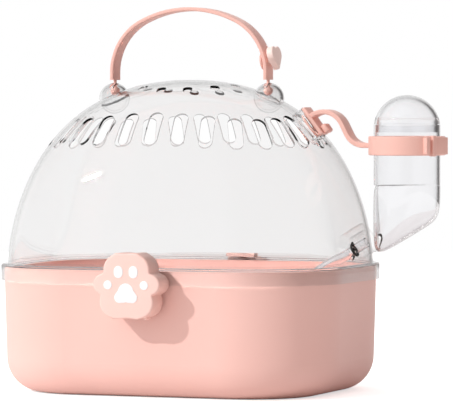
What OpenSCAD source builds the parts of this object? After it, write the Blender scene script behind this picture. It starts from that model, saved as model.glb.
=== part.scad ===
// Bird travel carrier: moulded tub, clear domed lid, two paw latches,
// soft carrying handle and a side drinking bottle. Millimetres, +Z up,
// origin at the middle of the tub's underside, +X towards the bottle.

/* [Tub] */
// Overall length of the lid flange, along X
flange_w = 230; // [210:1:250]
// Overall depth of the lid flange, along Y
flange_d = 183; // [170:1:200]
// Corner radius of the lid flange
flange_r = 63; // [50:1:70]
// Height of the tub's rim
tub_h = 79.9; // [76:0.1:84]
// Wall thickness of the tub
tub_wall = 2.6; // [2:0.1:3.2]
// Draft of the tub's sides, in degrees
tub_draft = 1.7; // [0.5:0.1:3]
// Radius of the rounded bottom edge of the tub
tub_fillet = 22; // [15:1:28]

/* [Lid] */
// Thickness of the lid's flange
flange_t = 1.8; // [1.4:0.1:2.4]
// Height of the lid's hanging skirt, flange included
skirt_h = 10.4; // [8:0.1:12]
// Wall thickness of the skirt
skirt_t = 1.6; // [1.2:0.1:2]
// Sideways clearance between the skirt and the tub
skirt_gap = 0.4; // [0.3:0.05:0.8]
// Height between the seated lid and the tub's rim
lid_gap = 0.3; // [0.3:0.05:0.5]
// Height of the dome above its flange
dome_h = 117.5; // [110:0.5:125]
// Wall thickness of the dome
dome_t = 2; // [1.6:0.1:2.6]
// Width of the bare flange around the dome
dome_inset = 4.3; // [3.8:0.1:6]
// How much wider than the base the crown's own ellipse is
crown_spread = 1.244; // [1.15:0.001:1.3]

/* [Vents] */
// Number of vent slots round the dome
slot_count = 28; // [20:2:30]
// Direction of the first slot on each side of the hanger, in degrees
slot_first = 18; // [17.5:0.5:24]
// Width of a vent slot
slot_w = 9; // [6:0.5:10]
// Length of a vent slot
slot_l = 25; // [20:0.5:28]
// Height of the middle of the slots above the flange, at the sides' middles
slot_rise = 87.3; // [84:0.1:89]
// How much lower the slots lie at the corners
slot_dip = 3.4; // [0:0.1:5]
// Number of round vents in the crown
crown_vent_count = 12; // [8:1:14]
// Diameter of a crown vent
crown_vent_d = 6; // [4:0.5:8]
// Radius of the ring of crown vents
crown_vent_ring = 34; // [30:1:36]

/* [Handle] */
// Distance between the handle's two feet
handle_span = 106; // [102:1:112]
// Height of the handle's outer crest above the dome
handle_h = 46.6; // [45:0.1:52]
// Width of the soft strap
strap_w = 12.5; // [10:0.5:14]
// Thickness of the handle's strap
strap_t = 2.4; // [2.3:0.1:3]
// Outer radius of the handle's long top arc
handle_arc_r = 74.4; // [70:0.1:80]
// Outer radius of the handle's shoulders
handle_shoulder_r = 38; // [32:0.5:42]
// Diameter of the neck under each foot
neck_d = 2; // [1.6:0.1:2.2]
// Radius of the retaining bulb at the end of each neck
bulb_r = 2.9; // [2.5:0.1:3.2]
// How far the handle's swing axis lies below the top of the dome
swing_drop = 7; // [6.8:0.1:7.2]
// Outer radius of the clear socket around each bulb
socket_r = 9.8; // [9.5:0.1:10.2]
// Wall thickness of the sockets
socket_t = 1.6; // [1.4:0.1:1.8]
// How far the handle swings each way, in degrees
handle_swing = 50; // [40:1:52]
// Width of the heart-shaped button
button_w = 17; // [14:0.5:19]
// Thickness of the button's head
button_t = 4.5; // [3:0.5:5]

/* [Latches] */
// Thickness of a paw from back to front
paw_t = 16.7; // [15:0.1:18]
// How far the middle of the front paw lies below the flange
paw_drop = 10.5; // [10:0.1:11]
// How much lower the back latch sits than the front one
back_drop = 10; // [8:0.5:12]
// Wall thickness of the paw
paw_wall = 2.2; // [1.8:0.1:2.6]
// Thickness of the paw's front wall
paw_front = 3; // [2.5:0.1:4]
// Diameter of the hinge pin
pin_d = 3; // [2.5:0.1:3.4]
// Length of the hinge pin
pin_l = 25; // [24:0.5:26]
// How far the hinge pin lies below the middle of the paw
pin_drop = 13.5; // [13:0.1:14]
// Width of the snap hook
hook_w = 20; // [16:1:22]
// Thickness of the snap hook
hook_t = 2.2; // [1.8:0.1:2.5]
// How far the hook reaches over the flange
hook_reach = 3.2; // [2:0.1:3.4]

/* [Bottle] */
// Outside diameter of the bottle
bottle_d = 42; // [40:0.5:43]
// Wall thickness of the bottle
bottle_wall = 1.6; // [1.2:0.1:2]
// Distance of the bottle's axis from the port's seal, along X
bottle_reach = 35.4; // [34:0.1:38]
// Height of the elbow's seam above the port's seal
elbow_h = 41.3; // [38:0.1:44]
// Height of the bottle's straight tube
tube_h = 38.2; // [37:0.1:42]
// Slope of the drinking port, in degrees
port_slope = 30; // [28:1:32]
// Outside diameter of the threaded neck
port_neck_d = 16; // [14:0.5:17]
// Outside diameter of the port's boss on the dome
port_boss_d = 25; // [23:0.5:26]
// Length of the port's boss outside the seal
port_boss_l = 13; // [12:0.1:14]
// Outside diameter of the drinking tube
spout_d = 6.5; // [6:0.1:7]
// Wall thickness of the drinking tube
spout_wall = 0.7; // [0.5:0.1:0.9]
// Length of the drinking tube inside the carrier
spout_l = 32; // [26:1:34]
// Diameter of the seal's section
seal_d = 1.6; // [1.2:0.1:2]

/* [Hanger] */
// Height of the band around the bottle
band_h = 12; // [10:0.5:14]
// How far the band's middle lies below the centre of the strap's crest
band_drop = 7.3; // [6:0.1:9]
// Thickness of the hanger's soft strap
band_t = 3; // [2.4:0.1:3.4]
// Length of the plate that lies on the hanger's boss
plate_l = 20.6; // [18:0.2:22]
// Thickness of that plate
plate_t = 2.5; // [2:0.1:3]

/* [Hidden] */
$fn = 64;
part_gap = 0.3;
run_fit = 0.05;
eps = 0.01;

// Rounded outlines share the corner centres of the flange.
corner_x = flange_w / 2 - flange_r;
corner_y = flange_d / 2 - flange_r;
rim_r = flange_r - skirt_t - skirt_gap;
flange_top = tub_h + lid_gap + flange_t;
dome_r0 = flange_r - dome_inset;
dome_rim_x = corner_x + dome_r0;
dome_rim_y = corner_y + dome_r0;
dome_power_r = 0.927;
dome_power_z = 1.21;
dome_rings = 10;
dome_sides = 48;
vent_depth = 9;
crown_vent_first = 18;
vent_over = 5;
small_vent_turn = 4.5;
small_vent_rise = 78.8;
small_vent_d = 6.5;

// The sockets and the handle are placed from the top of the dome.
crown_z = flange_top + dome_h;
socket_x = handle_span / 2 + 0.5;
socket_z = crown_z - 11.7;
swing_z = crown_z - swing_drop;
slit_r = socket_r + 2.2;
slit_drop = 2.6;
slit_slack = 8;
foot_z = crown_z;
bulb_round = 0.35;
neck_root = 0.5;
strip_steps = 24;
button_z = crown_z + 11.8;
button_stem_d = 4;
button_lift = 2;
disc_r = 5.6;
disc_t = 1.5;
disc_seat = 0.6;
strap_hole_z = crown_z + 6.6;
strap_hole_d = 3.2;

// The handle's shoulders meet its top arc smoothly and end upright.
foot_x = handle_span / 2 + strap_t / 2;
arc_z = crown_z + handle_h - handle_arc_r;
shoulder_x = foot_x - handle_shoulder_r;
shoulder_z = arc_z + sqrt(pow(handle_arc_r - handle_shoulder_r, 2) - pow(shoulder_x, 2));
top_turn = atan2(shoulder_x, shoulder_z - arc_z);

paw_z = flange_top - paw_drop;
pin_z = paw_z - pin_drop;
pin_y = -flange_d / 2 - 7.5;
paw_back_y = -flange_d / 2 - 0.8;
ear_x0 = 6;
ear_x1 = 9.2;
ear_r = 3.2;
ear_root = 1.4;
ear_room = 6;
cheek_x0 = ear_x1 + part_gap;
cheek_x1 = cheek_x0 + 2.4;
cheek_r = 3.6;
ear_room_h = 22;
ear_room_top = 2;
pin_fit = 0.04;
hook_back = 1;
hook_foot_lift = 3;
hook_foot_h = 4;
pad_t = 1;
pad_proud = 0.4;

bottle_r = bottle_d / 2;
port_x = dome_rim_x + 0.3;
port_z = flange_top + 9.5;
bottle_x = port_x + bottle_reach;
elbow_seam_z = port_z + elbow_h;
cap_seam_z = elbow_seam_z + tube_h;
port_fit = 0.1;
port_lead = 8;
port_step = 1;
elbow_rise = 10.6;
elbow_ease = 0.5;
spigot_h = 5;
spigot_wall = 1.3;
spigot_fit = 0.1;
spigot_r = bottle_r - bottle_wall - spigot_fit;
cap_drop = 2.6;
cap_wall = 2.8;
neck_start = 1.2;
neck_wall = 1.8;
neck_r = port_neck_d / 2;
seal_r = spout_d / 2 + seal_d / 2 + run_fit;
ball_r = spout_d / 2 - spout_wall - 0.1;
lip_r = ball_r - 0.5;
lip_t = 0.8;

// The hanger's plate lies hang_proud outside the dome, at a share of its height.
hang_share = 0.7762;
hang_proud = 6.85;
hang_z = flange_top + hang_share * dome_h;
hang_x = dome_reach(0, rise_at(hang_z), 0) + hang_proud;
hang_tilt = 52.6;
boss_l = 24;
boss_w = 14.5;
boss_wall = 1.2;
boss_depth = 10;
boss_roof_z = -plate_t / 2 - part_gap - boss_wall;
slot_room = 3;
stem_x = 7.4;
stem_l = 4;
stem_w = 5;
lug_l = 6;
lug_w = 9;
lug_h = 3.8;
bar_x = 0.5;
bar_l = 17;
bar_w = 10;
bar_t = 1.7;
crest_x = hang_x + 7;
crest_z = hang_z - 8.1;
crest_r = 14;
crest_first = -38;
fall_turn = 63;
sag_r = 12.7;
band_z = crest_z - band_drop;
band_fit = 0.3;
band_in_r = bottle_r + band_fit;
band_out_r = band_in_r + band_t;
keeper_turn = -30;
keeper_w = 3.2;
keeper_l = band_t + 1.2;
keeper_step = 5.4;
keeper_proud = 1.5;
keeper_root = 1;
rib_step = 0.6;
tail_l = 13;
tail_t = 2.2;
tail_turn = 8;

PINK = [0.97, 0.80, 0.76];
ROSE = [0.94, 0.73, 0.68];
CLEAR = [0.88, 0.93, 0.95, 0.45];
WHITE = [0.98, 0.98, 0.97];
STEEL = [0.75, 0.76, 0.78];
BLACK = [0.10, 0.10, 0.11];

// ---- Shared outlines ------------------------------------------------------

// Flat outline with the flange's corner centres and any corner radius.
module rounded_outline(r) {
    for (x = [-corner_x, corner_x], y = [-corner_y, corner_y])
        translate([x, y]) circle(r, $fn = 96);
    square([2 * (corner_x + r), 2 * corner_y], center = true);
    square([2 * corner_x, 2 * (corner_y + r)], center = true);
}

module rounded_slab(r, z0, z1) {
    translate([0, 0, z0]) linear_extrude(z1 - z0) rounded_outline(r);
}

// Half section of the tub measured outwards from a corner centre.
module tub_section(r, z0, h, fillet) {
    lean = tan(tub_draft);
    heel = r - (h - z0 - fillet) * lean - fillet / cos(tub_draft);
    knee_z = z0 + fillet * (1 - sin(tub_draft));
    knee_r = heel + fillet * cos(tub_draft);
    polygon([[0, z0], [heel, z0], [heel, z0 + fillet], [0, z0 + fillet]]);
    intersection() {
        translate([heel, z0 + fillet]) circle(fillet, $fn = 96);
        translate([0, z0]) square([r, fillet]);
    }
    polygon([[0, knee_z], [knee_r, knee_z], [r, h], [0, h]]);
}

module tub_solid(r, z0, h, fillet) {
    for (i = [0:3]) {
        sx = (i == 0 || i == 3) ? 1 : -1;
        sy = i < 2 ? 1 : -1;
        translate([sx * corner_x, sy * corner_y, 0])
            rotate([0, 0, 90 * i])
                rotate_extrude(angle = 90, $fn = 96) tub_section(r, z0, h, fillet);
    }
    for (turn = [0, 180]) {
        rotate([0, 0, turn]) translate([0, -corner_y, 0]) rotate([90, 0, 90])
            translate([0, 0, -corner_x]) linear_extrude(2 * corner_x)
                mirror([1, 0]) tub_section(r, z0, h, fillet);
        rotate([0, 0, turn]) translate([corner_x, 0, 0]) rotate([90, 0, 0])
            translate([0, 0, -corner_y]) linear_extrude(2 * corner_y)
                tub_section(r, z0, h, fillet);
    }
    translate([-corner_x, -corner_y, z0]) cube([2 * corner_x, 2 * corner_y, h - z0]);
}

// ---- Dome -----------------------------------------------------------------

// Distance from the middle to a rounded rectangle, in the direction turn.
function rim_reach(turn, hx, hy, r) =
    let (
        c = max(abs(cos(turn)), 1e-6),
        s = max(abs(sin(turn)), 1e-6),
        px = hx - r,
        py = hy - r,
        along = px * c + py * s
    )
    hx / c * s <= py ? hx / c
    : hy / s * c <= px ? hy / s
    : along + sqrt(along * along - px * px - py * py + r * r);

// Distance from the middle to the crown's ellipse.
function crown_reach(turn, hx, hy) =
    1 / sqrt(pow(cos(turn) / (hx * crown_spread), 2) + pow(sin(turn) / (hy * crown_spread), 2));

// Radius of the dome in the direction turn; rise goes from 0 at the rim to 90.
function dome_reach(turn, rise, inset) =
    let (
        hx = dome_rim_x - inset,
        hy = dome_rim_y - inset,
        w = pow(sin(rise), 2),
        rim = rim_reach(turn, hx, hy, dome_r0 - inset),
        crown = crown_reach(turn, hx, hy)
    )
    (rim * (1 - w) + crown * w) * pow(cos(rise), dome_power_r);

function dome_height(rise, inset) =
    flange_top + (dome_h - inset) * pow(sin(rise), dome_power_z);

// The rise at which the dome's outside has the height z.
function rise_at(z) = asin(pow((z - flange_top) / dome_h, 1 / dome_power_z));

// One skin of the dome, dome_sides points a ring: a foot ring at z0, the rings
// of the wall and the point at the top.
function dome_skin(z0, inset) =
    let (rise_step = 90 / dome_rings, turn_step = 360 / dome_sides)
    [
        for (j = [-1:dome_rings - 1], i = [0:dome_sides - 1])
            let (
                turn = i * turn_step,
                rise = max(j, 0) * rise_step,
                q = dome_reach(turn, rise, inset),
                z = j < 0 ? z0 : dome_height(rise, inset)
            )
            [q * cos(turn), q * sin(turn), z],
        [0, 0, dome_height(90, inset)]
    ];

// The dome's wall, from its outside to dome_t further in, standing on z0.
module dome_shell(z0) {
    n = dome_sides;
    skin = n * (dome_rings + 1) + 1;
    walls = [for (j = [0:dome_rings - 1], i = [0:n - 1], half = [0, 1])
        let (a = j * n + i, b = j * n + (i + 1) % n)
        half == 0 ? [a, a + n, b] : [b, a + n, b + n]];
    crown = [for (i = [0:n - 1]) [n * dome_rings + i, skin - 1, n * dome_rings + (i + 1) % n]];
    outside = concat(walls, crown);
    inside = [for (f = outside) [f[2] + skin, f[1] + skin, f[0] + skin]];
    foot = [for (i = [0:n - 1], half = [0, 1])
        let (b = (i + 1) % n)
        half == 0 ? [i, b, i + skin] : [b, b + skin, i + skin]];
    points = concat(dome_skin(z0, 0), dome_skin(z0, dome_t));
    polyhedron(points, concat(outside, inside, foot), convexity = 4);
}

// Puts its children on the dome's outside: local Z is outwards, local X runs
// down the slope. turn is the direction seen from above.
module on_dome(turn, z) {
    rise = rise_at(z);
    lower = dome_reach(turn, rise - 2, 0);
    upper = dome_reach(turn, rise + 2, 0);
    drop = dome_height(rise + 2, 0) - dome_height(rise - 2, 0);
    tilt = atan2(drop, lower - upper);
    rotate([0, 0, turn]) translate([dome_reach(turn, rise, 0), 0, z])
        rotate([0, tilt, 0]) children();
}

// As on_dome, but local X runs down the steepest slope, also at the corners.
module on_slope(turn, z) {
    rise = rise_at(z);
    reach = dome_reach(turn, rise, 0);
    growth = (dome_reach(turn + 2, rise, 0) - dome_reach(turn - 2, rise, 0)) / (4 * PI / 180);
    heading = turn - atan2(growth, reach);
    lower = dome_reach(turn, rise - 2, 0);
    upper = dome_reach(turn, rise + 2, 0);
    drop = dome_height(rise + 2, 0) - dome_height(rise - 2, 0);
    tilt = atan2(drop, (lower - upper) * cos(heading - turn));
    translate([reach * cos(turn), reach * sin(turn), z])
        rotate([0, 0, heading]) rotate([0, tilt, 0]) children();
}

// Slot k goes round the rim's ellipse; room is left for the hanger at angle 0.
function slot_angle(k) = slot_first + (360 - 2 * slot_first) * k / (slot_count - 1);
function slot_turn(k) =
    atan2(dome_rim_y * sin(slot_angle(k)), dome_rim_x * cos(slot_angle(k)));
function slot_z(k) = flange_top + slot_rise - slot_dip * pow(sin(2 * slot_angle(k)), 2);

module capsule(l, w, h) {
    linear_extrude(h) {
        square([l - w, w], center = true);
        for (x = [-1, 1]) translate([x * (l - w) / 2, 0]) circle(w / 2, $fn = 32);
    }
}

module vent_slots() {
    for (k = [0:slot_count - 1])
        on_slope(slot_turn(k), slot_z(k))
            translate([0, 0, -vent_depth]) capsule(slot_l, slot_w, vent_depth + vent_over);
}

// Two small round vents between the hanger's boss and its neighbours.
module small_vents() {
    for (side = [-1, 1])
        on_dome(side * small_vent_turn, flange_top + small_vent_rise)
            translate([0, 0, -vent_depth])
                cylinder(d = small_vent_d, h = vent_depth + vent_over, $fn = 32);
}

module crown_vents() {
    for (k = [0:crown_vent_count - 1])
        rotate([0, 0, crown_vent_first + 360 * k / crown_vent_count])
            translate([crown_vent_ring, 0, flange_top + dome_h - 2 * vent_depth])
                cylinder(d = crown_vent_d, h = 3 * vent_depth, $fn = 32);
}

// ---- Frames of the port and of the hanger ---------------------------------

// Local Z runs up and out along the drinking port, zero at the seal.
module port_frame() {
    translate([port_x, 0, port_z]) rotate([0, 90 - port_slope, 0]) children();
}

// Local Z is outwards from the hanger's boss, local X down the slope.
module hanger_frame() {
    translate([hang_x, 0, hang_z]) rotate([0, hang_tilt, 0]) children();
}

// ---- Tub and lid ----------------------------------------------------------

module latch_ears() {
    for (side = [-1, 1]) {
        x0 = side > 0 ? ear_x0 : -ear_x1;
        translate([x0, pin_y, pin_z]) rotate([0, 90, 0]) cylinder(r = ear_r, h = ear_x1 - ear_x0);
        translate([x0, pin_y, pin_z - ear_r])
            cube([ear_x1 - ear_x0, -corner_y - rim_r + tub_wall + ear_root - pin_y, 2 * ear_r]);
    }
}

// Turns its children to the back and lowers them.
module at_back(drop) {
    rotate([0, 0, 180]) translate([0, 0, -drop]) children();
}

module pin_bore() {
    translate([-ear_x1 - 1, pin_y, pin_z]) rotate([0, 90, 0])
        cylinder(d = pin_d + pin_fit, h = 2 * ear_x1 + 2);
}

module tub() {
    color(PINK) difference() {
        union() {
            tub_solid(rim_r, 0, tub_h, tub_fillet);
            latch_ears();
            at_back(back_drop) latch_ears();
        }
        tub_solid(rim_r - tub_wall, tub_wall, tub_h + eps, tub_fillet - tub_wall);
        pin_bore();
        at_back(back_drop) pin_bore();
    }
}

module handle_socket_outside() {
    for (side = [-1, 1]) translate([side * socket_x, 0, socket_z]) sphere(socket_r);
}

// Room for the bulbs, and the slit in which the necks swing.
module handle_socket_inside() {
    slit = neck_d + 2 * part_gap;
    slit_reach = slit_r * tan(handle_swing + slit_slack);
    for (side = [-1, 1]) {
        translate([side * socket_x, 0, socket_z]) sphere(socket_r - socket_t);
        translate([side * handle_span / 2 - slit / 2, 0, swing_z]) rotate([90, 0, 90])
            linear_extrude(slit) intersection() {
                circle(slit_r);
                polygon([
                    [0, -slit_drop],
                    [slit_reach, slit_r - slit_drop],
                    [slit_reach, slit_r + 1],
                    [-slit_reach, slit_r + 1],
                    [-slit_reach, slit_r - slit_drop]
                ]);
            }
    }
}

module hanger_boss() {
    hanger_frame() translate([0, 0, -boss_depth])
        capsule(boss_l, boss_w, boss_depth - plate_t / 2 - part_gap);
}

// Hollow of the boss, and the slot through which the plug's bar is slipped in.
module hanger_boss_inside() {
    hanger_frame() {
        translate([0, 0, -2 * boss_depth])
            capsule(boss_l - 2 * boss_wall, boss_w - 2 * boss_wall, 2 * boss_depth + boss_roof_z);
        translate([stem_x - stem_l / 2 - part_gap - slot_room, -stem_w / 2 - part_gap, -boss_depth])
            cube([stem_l + 2 * part_gap + slot_room, stem_w + 2 * part_gap, 2 * boss_depth]);
    }
}

// Flat flange with its skirt; its hole ends half way through the dome's wall.
module lid_flange() {
    difference() {
        rounded_slab(flange_r, flange_top - skirt_h, flange_top);
        rounded_slab(flange_r - skirt_t, flange_top - skirt_h - 1, flange_top - flange_t);
        rounded_slab(dome_r0 - dome_t / 2, flange_top - flange_t - 1, flange_top + 1);
    }
}

module dome_lid() {
    color(CLEAR) difference() {
        union() {
            lid_flange();
            dome_shell(flange_top - flange_t / 2);
            handle_socket_outside();
            port_frame() translate([0, 0, -3]) cylinder(d = port_boss_d, h = port_boss_l + 3);
            hanger_boss();
        }
        vent_slots();
        small_vents();
        crown_vents();
        handle_socket_inside();
        hanger_boss_inside();
        port_frame() {
            translate([0, 0, port_step]) cylinder(r = neck_r + port_fit, h = port_boss_l);
            translate([0, 0, -port_lead])
                cylinder(r = seal_r + seal_d / 2 + port_fit, h = port_lead + 2 * port_step);
        }
    }
}

// ---- Handle ---------------------------------------------------------------

// One face of a strip that follows arcs, off away from its middle. An arc is its
// centre's two places, its radius (below zero where it sags) and its two angles.
function strip_side(arcs, off) = [
    for (arc = arcs, i = [0:strip_steps])
        let (turn = arc[3] + (arc[4] - arc[3]) * i / strip_steps)
        [arc[0] + (arc[2] + off) * sin(turn), arc[1] + (arc[2] + off) * cos(turn)]
];

function reversed(list) = [for (i = [len(list) - 1:-1:0]) list[i]];

// The top arc stops one step short of the shoulders, which bring the end points.
module handle_arch() {
    inner_turn = top_turn * (1 - 2 / strip_steps);
    arcs = [
        [-shoulder_x, shoulder_z, handle_shoulder_r - strap_t / 2, -90, -top_turn],
        [0, arc_z, handle_arc_r - strap_t / 2, -inner_turn, inner_turn],
        [shoulder_x, shoulder_z, handle_shoulder_r - strap_t / 2, top_turn, 90]
    ];
    polygon(concat(
        [[-foot_x, foot_z]],
        strip_side(arcs, strap_t / 2),
        [[foot_x, foot_z], [foot_x - strap_t, foot_z]],
        reversed(strip_side(arcs, -strap_t / 2)),
        [[strap_t - foot_x, foot_z]]
    ));
}

// Local X points out of the right leg, through its middle, at height z.
module on_leg(z) {
    mid_r = handle_shoulder_r - strap_t / 2;
    lean = asin(max(z - shoulder_z, 0) / mid_r);
    translate([shoulder_x + mid_r * cos(lean), 0, z]) rotate([0, -lean, 0]) children();
}

// Barrel that turns in the socket, rounded off towards its two ends.
module handle_bulb() {
    rotate([0, 90, 0]) intersection() {
        sphere(bulb_r + bulb_round, $fn = 48);
        cylinder(r = bulb_r, h = 4 * bulb_r, center = true, $fn = 48);
    }
}

module handle_strap() {
    color(ROSE) difference() {
        union() {
            rotate([90, 0, 0]) translate([0, 0, -strap_w / 2]) linear_extrude(strap_w) handle_arch();
            for (side = [-1, 1]) translate([side * handle_span / 2, 0, swing_z]) {
                handle_bulb();
                cylinder(d = neck_d, h = foot_z - swing_z + neck_root, $fn = 32);
            }
        }
        on_leg(button_z) rotate([0, 90, 0])
            cylinder(d = button_stem_d + 2 * run_fit, h = 3 * strap_t, center = true, $fn = 32);
        on_leg(strap_hole_z) rotate([0, 90, 0])
            cylinder(d = strap_hole_d, h = 3 * strap_t, center = true, $fn = 32);
    }
}

module heart(w) {
    lobe = w * 0.28;
    rotate([0, 0, 45]) translate([-w * 0.27, -w * 0.27]) {
        square(2 * lobe);
        translate([lobe, 2 * lobe]) circle(lobe, $fn = 48);
        translate([2 * lobe, lobe]) circle(lobe, $fn = 48);
    }
}

module handle_button() {
    color(ROSE) on_leg(button_z) {
        rotate([0, 90, 0]) translate([0, 0, -strap_t / 2 - disc_seat - disc_t + part_gap])
            cylinder(d = button_stem_d, h = strap_t + disc_seat + disc_t + button_lift, $fn = 32);
        translate([strap_t / 2 + button_lift, 0, 0]) rotate([90, 0, 90])
            linear_extrude(button_t) heart(button_w);
    }
}

// Flat washer, disc_seat away from the strap's curved inner side.
module handle_button_disc() {
    color(ROSE) on_leg(button_z) rotate([0, 90, 0])
        translate([0, 0, -strap_t / 2 - disc_t - disc_seat]) difference() {
            cylinder(r = disc_r, h = disc_t, $fn = 48);
            translate([0, 0, -1]) cylinder(d = button_stem_d + 2 * run_fit, h = disc_t + 2, $fn = 32);
        }
}

// ---- Latches --------------------------------------------------------------

// Place and radius of the paw's lobes, right half, about its middle.
toe_lobe = [5.3, 10, 10.4];
side_lobe = [15.9, 1.1, 6.6];
heel_lobe = [8, -10.1, 10.2];
palm = [16.5, 8.5];
toe_notch = 0.7;

// Paw outline of rounded lobes, seen from the front; wall shrinks it.
module paw_outline(wall) {
    heel_z = heel_lobe[1] - heel_lobe[2] + wall;
    for (side = [-1, 1], lobe = [toe_lobe, side_lobe, heel_lobe])
        translate([side * lobe[0], lobe[1]]) circle(lobe[2] - wall, $fn = 64);
    square([2 * (palm[0] - wall), 2 * (palm[1] - wall)], center = true);
    translate([-heel_lobe[0], heel_z]) square([2 * heel_lobe[0], toe_lobe[1] - heel_z]);
    translate([0, toe_lobe[1]])
        square([2 * toe_lobe[0], 2 * (toe_lobe[2] - toe_notch - wall)], center = true);
}

// The same for the pads: place and radius, toe_stretch up and down the toes.
toe_pad = [5, 8.8, 3];
toe_stretch = 0.8;
side_pad = [12.1, 0.7, 2.8];
heel_top_pad = [0, -3.4, 5.2];
heel_side_pad = [4.3, -7, 3.4];
heel_fill = [8.6, 6];
heel_fill_y = -6.6;

module toe_pads() {
    for (side = [-1, 1]) {
        translate([side * toe_pad[0], toe_pad[1]]) {
            translate([0, toe_stretch]) circle(toe_pad[2], $fn = 32);
            translate([0, -toe_stretch]) circle(toe_pad[2], $fn = 32);
            square([2 * toe_pad[2], 2 * toe_stretch], center = true);
        }
        translate([side * side_pad[0], side_pad[1]]) circle(side_pad[2], $fn = 32);
    }
}

module heel_pad() {
    translate([heel_top_pad[0], heel_top_pad[1]]) circle(heel_top_pad[2], $fn = 48);
    for (side = [-1, 1])
        translate([side * heel_side_pad[0], heel_side_pad[1]]) circle(heel_side_pad[2], $fn = 32);
    translate([0, heel_fill_y]) square(heel_fill, center = true);
}

module pads_outline() {
    toe_pads();
    heel_pad();
}

// Stands a flat outline up in the XZ plane, from y0 towards the front.
module stand_up(y0, depth) {
    translate([0, y0, paw_z]) rotate([90, 0, 0]) linear_extrude(depth) children();
}

// Hollow paw with the two cheeks that take the pin. A lowered paw is notched
// where the hook's upright leaves through its top.
module latch_paw(notched) {
    front_y = paw_back_y - paw_t;
    notch_y = paw_back_y - hook_back - hook_t - part_gap;
    difference() {
        union() {
            difference() {
                stand_up(paw_back_y, paw_t) paw_outline(0);
                stand_up(paw_back_y + eps, paw_t - paw_front + eps) paw_outline(paw_wall);
            }
            for (side = [-1, 1])
                translate([side > 0 ? cheek_x0 : -cheek_x1, pin_y, pin_z]) {
                    rotate([0, 90, 0]) cylinder(r = cheek_r, h = cheek_x1 - cheek_x0);
                    translate([0, front_y + 1 - pin_y, -1.5 * cheek_r])
                        cube([cheek_x1 - cheek_x0, pin_y - front_y - 1, 2.5 * cheek_r]);
                }
        }
        translate([-cheek_x0, pin_y - ear_room, paw_z - ear_room_h])
            cube([2 * cheek_x0, ear_room + paw_t, ear_room_h + pin_z - paw_z - ear_room_top]);
        translate([-cheek_x1 - 2, pin_y, pin_z]) rotate([0, 90, 0])
            cylinder(d = pin_d + 2 * run_fit, h = 2 * cheek_x1 + 4);
        stand_up(front_y + pad_t - pad_proud, pad_t) pads_outline();
        if (notched) translate([-hook_w / 2 - part_gap, notch_y, paw_z])
            cube([hook_w + 2 * part_gap, paw_back_y - notch_y + 1, 2 * palm[0]]);
    }
}

module latch_pads() {
    stand_up(paw_back_y - paw_t + pad_t - pad_proud, pad_t) pads_outline();
}

// Foot on the paw's front wall, upright and lip over the flange; drop is how
// much lower than the front one the latch sits.
module latch_hook(drop) {
    hook_z = flange_top + part_gap;
    lip_y = -flange_d / 2 + hook_reach;
    upright_y = paw_back_y - hook_back;
    front_y = paw_back_y - paw_t + paw_front;
    root_z = pin_z + ear_r + hook_foot_lift - drop;
    translate([-hook_w / 2, upright_y - hook_t, root_z])
        cube([hook_w, hook_t, hook_z + hook_t - root_z]);
    translate([-hook_w / 2, upright_y - hook_t, hook_z])
        cube([hook_w, lip_y - upright_y + hook_t, hook_t]);
    translate([-hook_w / 2, front_y, root_z])
        cube([hook_w, upright_y - front_y, hook_foot_h]);
}

module latch_pin() {
    translate([-pin_l / 2, pin_y, pin_z]) rotate([0, 90, 0]) cylinder(d = pin_d, h = pin_l);
}

module front_latch_paw() { color(PINK) latch_paw(false); }
module front_latch_pads() { color(WHITE) latch_pads(); }
module front_latch_hook() { color(PINK) latch_hook(0); }
module front_latch_pin() { color(STEEL) latch_pin(); }
module back_latch_paw() { at_back(back_drop) color(PINK) latch_paw(true); }
module back_latch_pads() { at_back(back_drop) color(WHITE) latch_pads(); }
module back_latch_hook() { at_back(0) color(PINK) latch_hook(back_drop); }
module back_latch_pin() { at_back(back_drop) color(STEEL) latch_pin(); }

// ---- Bottle ---------------------------------------------------------------

module bottle_cap() {
    rim_z = cap_seam_z + part_gap;
    color(CLEAR) translate([bottle_x, 0, 0]) difference() {
        union() {
            intersection() {
                translate([0, 0, rim_z - cap_drop]) sphere(bottle_r, $fn = 96);
                translate([0, 0, rim_z]) cylinder(r = bottle_r + 1, h = bottle_r);
            }
            translate([0, 0, rim_z - spigot_h]) cylinder(r = spigot_r, h = spigot_h + 2);
        }
        translate([0, 0, rim_z - cap_drop]) intersection() {
            sphere(bottle_r - cap_wall, $fn = 96);
            cylinder(r = bottle_r, h = bottle_r);
        }
        translate([0, 0, rim_z - spigot_h - 1])
            cylinder(r = spigot_r - spigot_wall, h = spigot_h);
    }
}

module bottle_tube() {
    color(CLEAR) translate([bottle_x, 0, elbow_seam_z]) difference() {
        cylinder(r = bottle_r, h = cap_seam_z - elbow_seam_z, $fn = 96);
        translate([0, 0, -1])
            cylinder(r = bottle_r - bottle_wall, h = cap_seam_z - elbow_seam_z + 2, $fn = 96);
    }
}

// Upright tube met by a sloping one: the rounded foot of the bottle.
module elbow_solid(wall) {
    intersection() {
        translate([bottle_x, 0, port_z - bottle_d])
            cylinder(r = bottle_r - wall, h = elbow_seam_z - port_z + bottle_d, $fn = 96);
        port_frame() translate([-elbow_rise, 0, port_boss_l + part_gap + wall])
            cylinder(r = bottle_r + elbow_ease - wall, h = 2 * bottle_d, $fn = 96);
    }
}

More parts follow.
